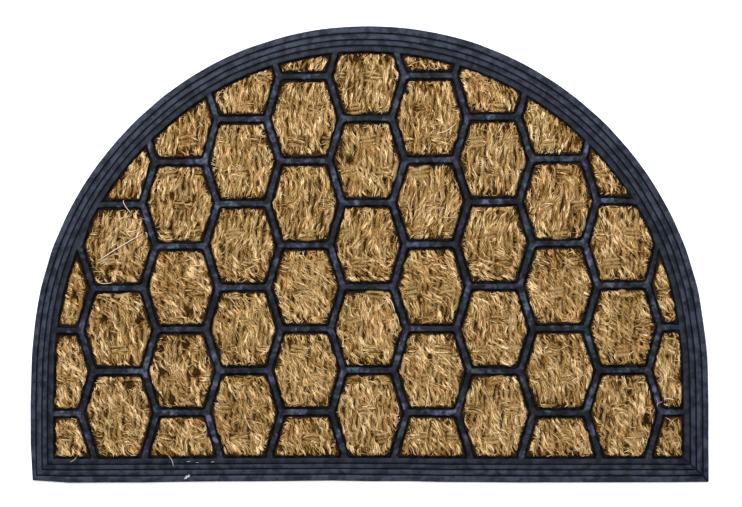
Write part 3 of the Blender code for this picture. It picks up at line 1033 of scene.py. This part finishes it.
def strand_lean(x, y):
    """How far the warp's strands lean at each place, as uneven as in hand-spun yarn."""
    down_photo = PHOTO_STRAIGHT_EDGE_PX - (y - LOWEST) / PIXEL
    across_photo = PHOTO_MIDDLE_PX + x / PIXEL
    heights, *leans = np.transpose(STRAND_LEANS)
    usual = np.zeros(np.shape(x))
    for column, only_here in zip(leans, np.eye(len(leans)), strict=True):
        share = np.interp(across_photo, STRAND_LEAN_COLUMNS, only_here)
        usual += share * np.interp(down_photo, heights, column)
    return np.radians(usual + 4 * wander(x, y, 70 * MM, 75) + 10 * wander(x, y, 22 * MM, 76))


def passing_under(x, y):
    """1 at each place where the warp passes under the weft, falling to 0 where it floats on top."""
    yarn, down = weave_place(x, y)
    return crossing(np.floor(yarn / YARNS_IN_BAND), down)


def float_height(x, y):
    """Height of the warp's top, which dips where it passes under the weft, and the depth in a pad."""
    depth = pad_depth(x, y)
    sunk = WARP_DIP * passing_under(x, y) + PARTING_DEPTH * parting(x, y)
    return pad_height(x, y, depth) - sunk + warp_lumps(x, y), depth


def loose_height(x, y):
    """Height of what has worked loose, over warp and weft alike, and the depth in a pad."""
    depth = pad_depth(x, y)
    return pad_height(x, y, depth) - 2 * MM * parting(x, y), depth


def lying_path(x, y, heading, bend, lift, droop, height_of):
    """A path that lies on the coir: it leaves its middle at a heading, bends, and droops at its ends."""
    def place_of(along):
        wide = along if along.ndim == 2 else along[:, None]
        turn = heading[:, None] + bend[:, None] * wide / 2
        place_x, place_y = x[:, None] + wide * np.cos(turn), y[:, None] + wide * np.sin(turn)
        place_x = place_x + sway(place_x, place_y)
        z, depth = height_of(place_x, place_y)
        z = z + lift[:, None] - droop * (wide / DROOP_REACH) ** 2
        found = (place_x, place_y, z, depth)
        return found if along.ndim == 2 else tuple(value[:, 0] for value in found)
    return place_of


def lock_places(random):
    """Locks of strands, one after another down each warp yarn, where it floats on top."""
    first, last, down_top, down_end = weave_reach()
    yarn, down = np.meshgrid(np.arange(first, last + 1), np.arange(down_top, down_end, LOCK_PITCH))
    start = random.uniform(0, LOCK_PITCH, yarn.shape[1])[None]
    down = down + start + random.uniform(-0.3, 0.3, yarn.shape) * LOCK_PITCH
    yarn, down = yarn.ravel(), down.ravel()
    x, y, _, _ = warp_line(yarn, down)
    x = x - sway(x, y) + LOCK_SPREAD * random.standard_normal(len(x))
    showing = (pad_depth(x, y) > 0) & (passing_under(x, y) < 0.5) & (parting(x, y) < 0.4)
    x, y, yarn, down = x[showing], y[showing], yarn[showing], down[showing]
    size = len(x)
    drawn = gathering(np.floor(yarn / YARNS_IN_BAND), down)
    return {
        "x": x,
        "y": y,
        "lean": strand_lean(x, y) + LOCK_LEAN_SPREAD * random.standard_normal(size),
        "bend": random.normal(0, 1, size) / LOCK_BEND_LENGTH,
        "reach": random.uniform(3.6, 7.4, size) * MM,
        "tone": random.normal(0.49, 0.17, size) + patch_tone(x, y) - 0.12 * drawn,
    }


def warp_locks(locks, random):
    """The body of each lock, over which its strands lie, its tone lowered as painted shade beneath them."""
    size = len(locks["x"])
    thick = random.uniform(0.90, 1.30, size) * MM
    lift = random.uniform(-0.45, 0.15, size) * MM - thick
    heading = locks["lean"] - pi / 2
    place_of = lying_path(locks["x"], locks["y"], heading, locks["bend"], lift, LOCK_DROOP, float_height)
    lines, radii, kept = laid_strands(place_of, locks["reach"], random, thick)
    # Painted shade: the body is darker than the strands that lie over it
    return lines, radii, locks["tone"][kept] - 0.10


def lock_fibres(locks, in_lock, random):
    """Strands of the locks, this many to each, side by side along its lean."""
    chosen = np.repeat(np.arange(len(locks["x"])), in_lock)
    size = len(chosen)
    lean, reach = locks["lean"][chosen], locks["reach"][chosen]
    aside = random.uniform(-1, 1, size)
    slide = random.uniform(-0.4, 0.4, size) * reach
    x = locks["x"][chosen] + aside * LOCK_HALF_WIDTH * np.cos(lean) + slide * np.sin(lean)
    y = locks["y"][chosen] + aside * LOCK_HALF_WIDTH * np.sin(lean) - slide * np.cos(lean)
    heading = lean + FIBRE_LEAN_SPREAD * random.standard_normal(size) - pi / 2
    bend = locks["bend"][chosen] + random.normal(0, 1, size) / LOCK_BEND_LENGTH
    lift = (0.10 - 0.60 * aside**2 + random.uniform(-0.25, 0.25, size)) * MM
    thick = random.uniform(0.25, 0.52, size) * MM
    place_of = lying_path(x, y, heading, bend, lift, FIBRE_DROOP, float_height)
    lines, radii, kept = laid_strands(place_of, reach * random.uniform(0.65, 1.10, size), random, thick)
    bright = np.where(random.uniform(size=size) < 0.12, 0.35, 0.0)
    tone = locks["tone"][chosen] + random.normal(0.03, 0.21, size) + bright
    return lines, radii, tone[kept]


def fibres_of(kind, random, *path):
    """Fibres of one kind along their paths, with their radii and tones."""
    widths, reaches, gain = FIBRE_KINDS[kind]
    size = len(path[0])
    thick = random.uniform(*widths, size) * MM
    reach = random.uniform(*reaches, size) * MM
    lines, radii, _ = laid_strands(lying_path(*path), reach, random, thick)
    return lines, radii, strand_tones(lines, random) + gain


def weft_height(x, y):
    """Height of the weft's top where it shows, and far below the warp elsewhere; the depth in a pad."""
    depth = pad_depth(x, y)
    hidden = (1 - passing_under(x, y)) ** 2
    sunk = 0.35 * MM + 2.2 * MM * hidden + PARTING_DEPTH * parting(x, y)
    return pad_height(x, y, depth) - sunk + 0.35 * MM * wander(x, y, 9 * MM, 34), depth


def weft_fibres(count, random):
    """Strands along the crossing yarns, where these show."""
    spots = np.array(weft_spots())
    row, band = spots[random.integers(0, len(spots), count)].T
    pick = random.integers(-1, 2, count)
    aside = random.uniform(-0.5, 0.5, count)
    start = random.uniform(-0.65, 0.65, count) * WEFT_HALF_SPAN
    x, y, _, depth = weft_line(row, band, pick + aside, start)
    showing = (depth > 0) & (parting(x, y) < 0.5)
    x, y, row, band, aside = x[showing], y[showing], row[showing], band[showing], aside[showing]
    size = len(x)
    heading = WEFT_SLOPE + 0.35 * spot_share(row, band, 1) + radians(20) * random.standard_normal(size)
    bend = random.normal(0, 1, size) / (11 * MM)
    lift = (0.25 - 0.9 * aside**2 + random.uniform(-0.4, 0.4, size)) * MM
    return fibres_of("weft", random, x, y, heading, bend, lift, 0.6 * MM, weft_height)


def loose_fibres(count, random):
    """Single fibres that have worked loose and lie across the yarns, each a shallow curve."""
    x, y = pad_places(count, random, 0.5 * MM)
    ruffled = 0.5 + 0.5 * wander(x, y, 90 * MM, 61)
    for px, py, size in RUFFLED:
        place_x, place_y = photo_place(px, py)
        ruffled = ruffled + 1.5 * np.exp(-((np.hypot(x - place_x, y - place_y) / (size * PIXEL)) ** 2))
    chosen = random.uniform(size=len(x)) < 0.25 + 0.6 * ruffled
    x, y = x[chosen], y[chosen]
    size = len(x)
    stray = random.uniform(size=size) < 0.45
    heading = random.uniform(0, 2 * pi, size)
    heading = np.where(stray, heading, strand_lean(x, y) - pi / 2 + random.normal(0, 0.4, size))
    bend = random.normal(0, 1, size) / (9 * MM)
    lift = random.uniform(-0.4, 0.3, size) * MM
    return fibres_of("loose", random, x, y, heading, bend, lift, 0.0, loose_height)


def rim_fibres(count, random):
    """Short fibres that stand over the edge of each pad and make it ragged."""
    x, y = pad_places(count, random, 0.0)
    depth = pad_depth(x, y)
    near = depth < 2.4 * MM
    x, y = x[near], y[near]
    size = len(x)
    step = 0.2 * MM
    out_x = pad_depth(x - step, y) - pad_depth(x + step, y)
    out_y = pad_depth(x, y - step) - pad_depth(x, y + step)
    outwards = np.arctan2(out_y, out_x) + random.normal(0, 0.8, size)
    lift = random.uniform(-0.9, -0.1, size) * MM
    return fibres_of("rim", random, x, y, outwards, np.zeros(size), lift, 0.0, loose_height)


def lying_height(x, y):
    """Height of what a straw lies on: the tops of the pads and ribs, or the border's ramp."""
    inset = well_depth(x, y, 0.0)
    onto_pads = np.clip((inset - BORDER_WIDTH) / (3 * MM), 0, 1)
    return ramp(inset) + (PAD_CROWN + 0.5 * MM - BORDER_TOP) * onto_pads


def stray_straws(material):
    """Single straws over the pads, the ribs and the border, each a curve through three places."""
    shares = np.linspace(0, 1, 11)[:, None]
    lines, radii, tones, paleness = [], [], [], []
    for *places, width, tone, bleached in STRAWS:
        start, middle, end = (np.array(photo_place(*place)) for place in places)
        half_width = width * MM / 2
        pull = 2 * middle - (start + end) / 2
        flat = (1 - shares) ** 2 * start + 2 * shares * (1 - shares) * pull + shares**2 * end
        lines.append(np.column_stack([flat, lying_height(flat[:, 0], flat[:, 1]) + half_width]))
        radii.append(half_width * np.sin(pi * (0.08 + 0.84 * shares[:, 0])) ** 0.4)
        tones.append(tone)
        paleness.append(bleached)
    group = (np.stack(lines), np.stack(radii), np.array(tones))
    obj = strand_object("stray_straws", [group], 5, material)
    point_values(obj, "bleached", np.repeat(paleness, len(obj.data.vertices) // len(STRAWS)))
    return obj


def lint(material):
    """A fleck of pale lint, which is a few short hairs in a heap."""
    random = np.random.default_rng(81)
    place_x, place_y = photo_place(*LINT_PLACE_PX)
    heading = LINT_HEADING + random.normal(0, 0.5, LINT_HAIRS)
    ahead = np.linspace(-0.38, 0.38, LINT_HAIRS) * LINT_LENGTH
    aside = random.normal(0, 0.09, LINT_HAIRS) * LINT_LENGTH
    middle_x = place_x + ahead * cos(LINT_HEADING) - aside * sin(LINT_HEADING)
    middle_y = place_y + ahead * sin(LINT_HEADING) + aside * cos(LINT_HEADING)
    along = np.linspace(-0.5, 0.5, STRAND_POINTS) * random.uniform(0.2, 0.5, (LINT_HAIRS, 1)) * LINT_LENGTH
    x = middle_x[:, None] + along * np.cos(heading)[:, None]
    y = middle_y[:, None] + along * np.sin(heading)[:, None]
    z = lying_height(x, y) + random.uniform(0.1, 0.6, (LINT_HAIRS, 1)) * MM
    radii = np.full(x.shape, 0.22 * MM)
    return strand_object("lint", [(np.stack([x, y, z], axis=2), radii, np.ones(LINT_HAIRS))], 3, material)


# Materials


def new_material(name, roughness, specular=0.5):
    """A material, its nodes and its shader, which is this rough and has this specular level."""
    material = bpy.data.materials.new(name)
    material.use_nodes = True
    shader = material.node_tree.nodes["Principled BSDF"]
    shader.inputs["Roughness"].default_value = roughness
    shader.inputs["Specular IOR Level"].default_value = specular
    return material, material.node_tree, shader


def node(tree, kind, sockets=None, **settings):
    """A new node with these settings, and with these sources or plain values in its input sockets."""
    made = tree.nodes.new(kind)
    for name, value in settings.items():
        setattr(made, name, value)
    for socket, source in (sockets or {}).items():
        plug(tree, source, made.inputs[socket])
    return made


def plug(tree, source, target):
    """Joins a socket to an input, or sets the input to a plain value."""
    if isinstance(source, bpy.types.NodeSocket):
        tree.links.new(source, target)
    elif target.type == "RGBA":
        target.default_value = (*source, 1)
    else:
        target.default_value = source


def new_group(name, inputs, outputs):
    """A node group with these sockets, each a name, a kind and, for an input, its first value."""
    group = bpy.data.node_groups.new(name, "ShaderNodeTree")
    for label, kind, value in inputs:
        socket = group.interface.new_socket(label, in_out="INPUT", socket_type=kind)
        if value is not None:
            socket.default_value = value
    for label, kind in outputs:
        group.interface.new_socket(label, in_out="OUTPUT", socket_type=kind)
    return group, node(group, "NodeGroupInput").outputs, node(group, "NodeGroupOutput").inputs


def use_group(tree, group, **values):
    """Places a group in a material with its own values, and gives its outputs."""
    placed = node(tree, "ShaderNodeGroup", node_tree=group)
    for label, value in values.items():
        plug(tree, value, placed.inputs[label.replace("_", " ").capitalize()])
    return placed.outputs


def mixed(tree, share, first, second, blend="MIX"):
    """A colour between two, each given as a colour or as a socket."""
    sockets = {0: share, 6: first, 7: second}
    return node(tree, "ShaderNodeMix", sockets, data_type="RGBA", blend_type=blend).outputs[2]


def maths(tree, operation, first, second):
    """The result of one operation on two numbers, each given as a number or as a socket."""
    return node(tree, "ShaderNodeMath", {0: first, 1: second}, operation=operation).outputs[0]


def mottle_group():
    """A cloudy mask with patches of a given size in metres, from 0 below Low to 1 above High."""
    inputs = (
        ("Size", "NodeSocketFloat", 10 * MM),
        ("Low", "NodeSocketFloat", 0.4),
        ("High", "NodeSocketFloat", 0.6),
    )
    group, given, result = new_group("mottle", inputs, [("Mask", "NodeSocketFloat")])
    place = node(group, "ShaderNodeTexCoord").outputs["Object"]
    scale = maths(group, "DIVIDE", 1.0, given["Size"])
    clouds = node(group, "ShaderNodeTexNoise", {"Vector": place, "Scale": scale, "Detail": 3.0})
    levels = {"Value": clouds.outputs["Fac"], "From Min": given["Low"], "From Max": given["High"]}
    plug(group, node(group, "ShaderNodeMapRange", levels).outputs["Result"], result["Mask"])
    return group


# Colours of coir by tone, and its tints: size in mm, where a patch starts and is full, share, tint
COIR_TONES = (
    (0.00, (0.058, 0.019, 0.001)),
    (0.30, (0.285, 0.148, 0.030)),
    (0.60, (0.615, 0.385, 0.142)),
    (1.00, (1.000, 0.790, 0.480)),
)
COIR_TINTS = (
    (19, 0.52, 0.72, 0.45, (1.0, 0.72, 0.60)),
    (27, 0.54, 0.74, 0.40, (0.86, 0.90, 0.62)),
)
STREAK_STRETCH = 0.32
STREAK_WIDTH = 0.45 * MM
STREAK_STRENGTH = 1.1
# Patches of the rubber, which feet have polished unevenly, the lightest of them painted sheen: size in mm,
# where a patch starts and is full, how much more of it there is on the ribs, how much elsewhere, how it
# blends, tint
RUBBER_PATCHES = (
    (12, 0.48, 0.58, 0.60, 0.10, "MIX", (0.0120, 0.0360, 0.0360)),
    (13, 0.50, 0.58, 0.60, 0.15, "MIX", (0.0470, 0.0425, 0.0900)),
    (10, 0.52, 0.60, 0.60, 0.00, "MIX", (0.0360, 0.0330, 0.0350)),
    # Painted sheen: lighter patches, mostly on the ribs, where feet have polished the rubber
    (16, 0.47, 0.55, 0.90, 0.00, "MULTIPLY", (3.0, 3.0, 2.9)),
    (9, 0.48, 0.54, 0.90, 0.00, "MULTIPLY", (0.26, 0.26, 0.30)),
    (42, 0.45, 0.52, 0.90, 0.00, "MULTIPLY", (0.48, 0.52, 0.50)),
    (3.4, 0.56, 0.43, 0.65, 0.25, "MULTIPLY", (0.30, 0.30, 0.36)),
)


def mottled(tree, size, low, high):
    """A cloudy mask with patches of this size in mm, from 0 below low to 1 above high."""
    return use_group(tree, mottle, size=size * MM, low=low, high=high)["Mask"]


def point_value(tree, name, output="Fac"):
    """What each vertex keeps under this name."""
    return node(tree, "ShaderNodeAttribute", attribute_name=name).outputs[output]


def coir_colour_group():
    """Colour of a strand of coir from its tone, with fine streaks along it and redder patches, scaled down by
    Depth as painted shade.
    """
    inputs = (
        ("Tone", "NodeSocketFloat", 0.5),
        ("Lay", "NodeSocketVector", None),
        ("Depth", "NodeSocketFloat", 1.0),
    )
    outputs = [("Color", "NodeSocketColor"), ("Height", "NodeSocketFloat")]
    group, given, result = new_group("coir_colour", inputs, outputs)
    factors = {0: given["Lay"], 1: (STREAK_STRETCH, 1.0, 1.0)}
    stretched = node(group, "ShaderNodeVectorMath", factors, operation="MULTIPLY").outputs["Vector"]
    clouds = node(group, "ShaderNodeTexNoise", {"Scale": 1 / STREAK_WIDTH, "Vector": stretched})
    streaks = clouds.outputs["Fac"]
    lift = maths(group, "MULTIPLY", maths(group, "SUBTRACT", streaks, 0.5), STREAK_STRENGTH)
    toned = node(group, "ShaderNodeValToRGB")
    stops = toned.color_ramp.elements
    while len(stops) < len(COIR_TONES):
        stops.new(0.5)
    for stop, (place, colour) in zip(stops, COIR_TONES, strict=True):
        stop.position = place
        stop.color = (*colour, 1)
    plug(group, maths(group, "ADD", given["Tone"], lift), toned.inputs["Fac"])
    colour = toned.outputs["Color"]
    for size, low, high, share, tint in COIR_TINTS:
        patches = maths(group, "MULTIPLY", mottled(group, size, low, high), share)
        colour = mixed(group, patches, colour, tint, "MULTIPLY")
    factors = {0: colour, "Scale": given["Depth"]}
    deep = node(group, "ShaderNodeVectorMath", factors, operation="SCALE")
    plug(group, deep.outputs["Vector"], result["Color"])
    plug(group, streaks, result["Height"])
    return group


def bumped(tree, shader, height, strength, distance):
    """Raises the surface by this height, with a strength and a distance in mm."""
    sockets = {"Strength": strength, "Distance": distance * MM, "Height": height}
    plug(tree, node(tree, "ShaderNodeBump", sockets).outputs["Normal"], shader.inputs["Normal"])


def rubber_material():
    """Black rubber with a blue cast: mottled most on the trodden ribs, with painted sheen, and darkest in
    painted shade in its low places.
    """
    material, tree, shader = new_material("moulded_black_rubber", 0.55, 0.12)
    trodden = point_value(tree, "trodden")
    colour = mixed(tree, mottled(tree, 8, 0.42, 0.58), (0.0150, 0.0185, 0.0320), (0.0440, 0.0530, 0.0810))
    for size, low, high, on_ribs, elsewhere, blend, tint in RUBBER_PATCHES:
        reach = maths(tree, "ADD", maths(tree, "MULTIPLY", trodden, on_ribs), elsewhere)
        patches = maths(tree, "MULTIPLY", mottled(tree, size, low, high), reach)
        colour = mixed(tree, patches, colour, tint, blend)
    colour = mixed(tree, mottled(tree, 1.9, 0.70, 0.78), colour, (0.1000, 0.1050, 0.1250))
    # Painted shade: near black in the grooves, down the ribs' flanks and on the border's inner band
    colour = mixed(tree, point_value(tree, "painted_shade_and_rib_tone"), colour, (0.0012, 0.0012, 0.0016))
    plug(tree, colour, shader.inputs["Base Color"])
    bumped(tree, shader, mottled(tree, 0.9, 0.20, 0.80), 0.4, 0.35)
    return material


def coir_material(name, surface, depth, bump, bleached_colour=None):
    """Coir whose strands hold their own tones: depth darkens it all as painted shade, and the sun may have
    bleached it.
    """
    material, tree, shader = new_material(name, *surface)
    tone, lay = point_value(tree, "tone"), point_value(tree, "lay", "Vector")
    coir = use_group(tree, coir_colour, tone=tone, lay=lay, depth=depth)
    colour = coir["Color"]
    if bleached_colour:
        colour = mixed(tree, point_value(tree, "bleached"), colour, bleached_colour)
    plug(tree, colour, shader.inputs["Base Color"])
    bumped(tree, shader, coir["Height"], *bump)
    return material


def patchy_material(name, surface, patches, first, second, grain=None):
    """Two colours in patches of a size in mm, and a grain of a size, strength and depth."""
    material, tree, shader = new_material(name, *surface)
    plug(tree, mixed(tree, mottled(tree, *patches), first, second), shader.inputs["Base Color"])
    if grain:
        size, strength, depth = grain
        bumped(tree, shader, mottled(tree, size, 0.20, 0.80), strength, depth)
    return material


mottle = mottle_group()
coir_colour = coir_colour_group()
# Each has a roughness and a specular level, then a depth that darkens it as painted shade, and a bump with
# its strength and its distance in mm; the yarns under the locks are painted at half brightness as painted
# shade
fibre_coir = coir_material("coir_fibre", (0.75, 0.10), 1.0, (0.2, 0.3))
yarn_coir_in_painted_shade = coir_material("spun_yarn_painted_shade", (0.75, 0.10), 0.50, (0.8, 0.3))
straw = coir_material("stray_straw", (0.60, 0.50), 1.0, (0.15, 0.2), (0.78, 0.68, 0.60))
# The matt rubber at the foot of the ribs, painted near-black as painted shade, where no light gets
trench_shade_rubber = patchy_material(
    "rubber_in_trenches_painted_shade", (0.90, 0.05), (6, 0.45, 0.70),
    (0.0022, 0.0022, 0.0030), (0.0160, 0.0124, 0.0116), (0.9, 0.4, 0.3),
)
# What shows between parted yarns: purple-black where rubber has come through and old brown coir, both
# darkened by painted shade deep between the yarns
painted_shade_ground = patchy_material(
    "matting_ground_painted_shade", (0.85, 0.03), (9, 0.40, 0.60),
    (0.022, 0.009, 0.008), (0.055, 0.026, 0.006), (1.2, 0.6, 0.5),
)
pale_lint = patchy_material(
    "pale_lint", (0.90, 0.50), (0.8, 0.35, 0.65),
    (0.45, 0.46, 0.50), (0.80, 0.80, 0.84),
)

tray = rubber_tray(rubber_material())
shade_moulding(tray, trench_shade_rubber)
settle_moulding(tray)
random = np.random.default_rng(7)
matting = coir_ground(painted_shade_ground)
warp = warp_yarns(yarn_coir_in_painted_shade)
weft = weft_yarns(yarn_coir_in_painted_shade)
locks = lock_places(random)
fibres = [strand_object("warp_locks", [warp_locks(locks, random)], 4, fibre_coir)]
for index, in_lock in enumerate((1, 2, 2)):
    strands = lock_fibres(locks, in_lock, random)
    fibres.append(strand_object(f"warp_fibres_{index + 1}", [strands], 3, fibre_coir))
for make, tries in ((weft_fibres, 14500), (loose_fibres, 15000), (rim_fibres, 52000)):
    fibres.append(strand_object(make.__name__, [make(tries, random)], 3, fibre_coir))
fibres.append(stray_straws(straw))
fibres.append(lint(pale_lint))

for piece in [tray, matting, warp, weft, *fibres]:
    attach(piece, "root")
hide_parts("rubber_moulding")
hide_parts("coir_panel")


# Studio


def floor():
    """The white floor that the mat lies on."""
    mesh = bpy.data.meshes.new("floor")
    reach = 6.0
    corners = [(-reach, -reach, 0), (reach, -reach, 0), (reach, reach, 0), (-reach, reach, 0)]
    mesh.from_pydata(corners, [], [(0, 1, 2, 3)])
    material, _, shader = new_material("pale_floor", 0.9)
    shader.inputs["Base Color"].default_value = (0.92, 0.92, 0.92, 1)
    shader.inputs["Emission Color"].default_value = (1, 1, 1, 1)
    shader.inputs["Emission Strength"].default_value = 0.45
    mesh.materials.append(material)
    obj = placed("floor", mesh)
    obj.location.z = -0.2 * MM


def area_light(name, place, size, power):
    """A square lamp that points at the middle of the mat."""
    data = bpy.data.lights.new(name, "AREA")
    data.shape = "SQUARE"
    data.size = size
    data.energy = power
    obj = placed(name, data)
    obj.location = place
    obj.rotation_euler = (-Vector(place)).to_track_quat("-Z", "Y").to_euler()


def studio():
    """The floor, the lamps and the light from all round."""
    floor()
    area_light("key_light", (-0.30, 0.80, 1.75), 0.7, 40)
    area_light("fill_light", (0.8, -0.9, 1.6), 1.6, 12)
    world = bpy.data.worlds.new("studio")
    world.use_nodes = True
    background = world.node_tree.nodes["Background"]
    background.inputs["Color"].default_value = (0.92, 0.95, 1.0, 1)
    background.inputs["Strength"].default_value = 0.24
    bpy.context.scene.world = world
    bpy.context.scene.view_settings.view_transform = "Standard"


def camera():
    """The camera that takes the view of the photo."""
    data = bpy.data.cameras.new("camera")
    data.lens = 85
    data.sensor_width = 36
    data.clip_start = 0.01
    obj = placed("camera", data)
    middle_x, middle_y = photo_place(PHOTO_WIDTH_PX / 2, PHOTO_HEIGHT_PX / 2)
    distance = PHOTO_WIDTH_PX * PIXEL * data.lens / data.sensor_width
    obj.location = (middle_x, middle_y, distance + 5 * MM)
    bpy.context.scene.camera = obj


studio()
camera()
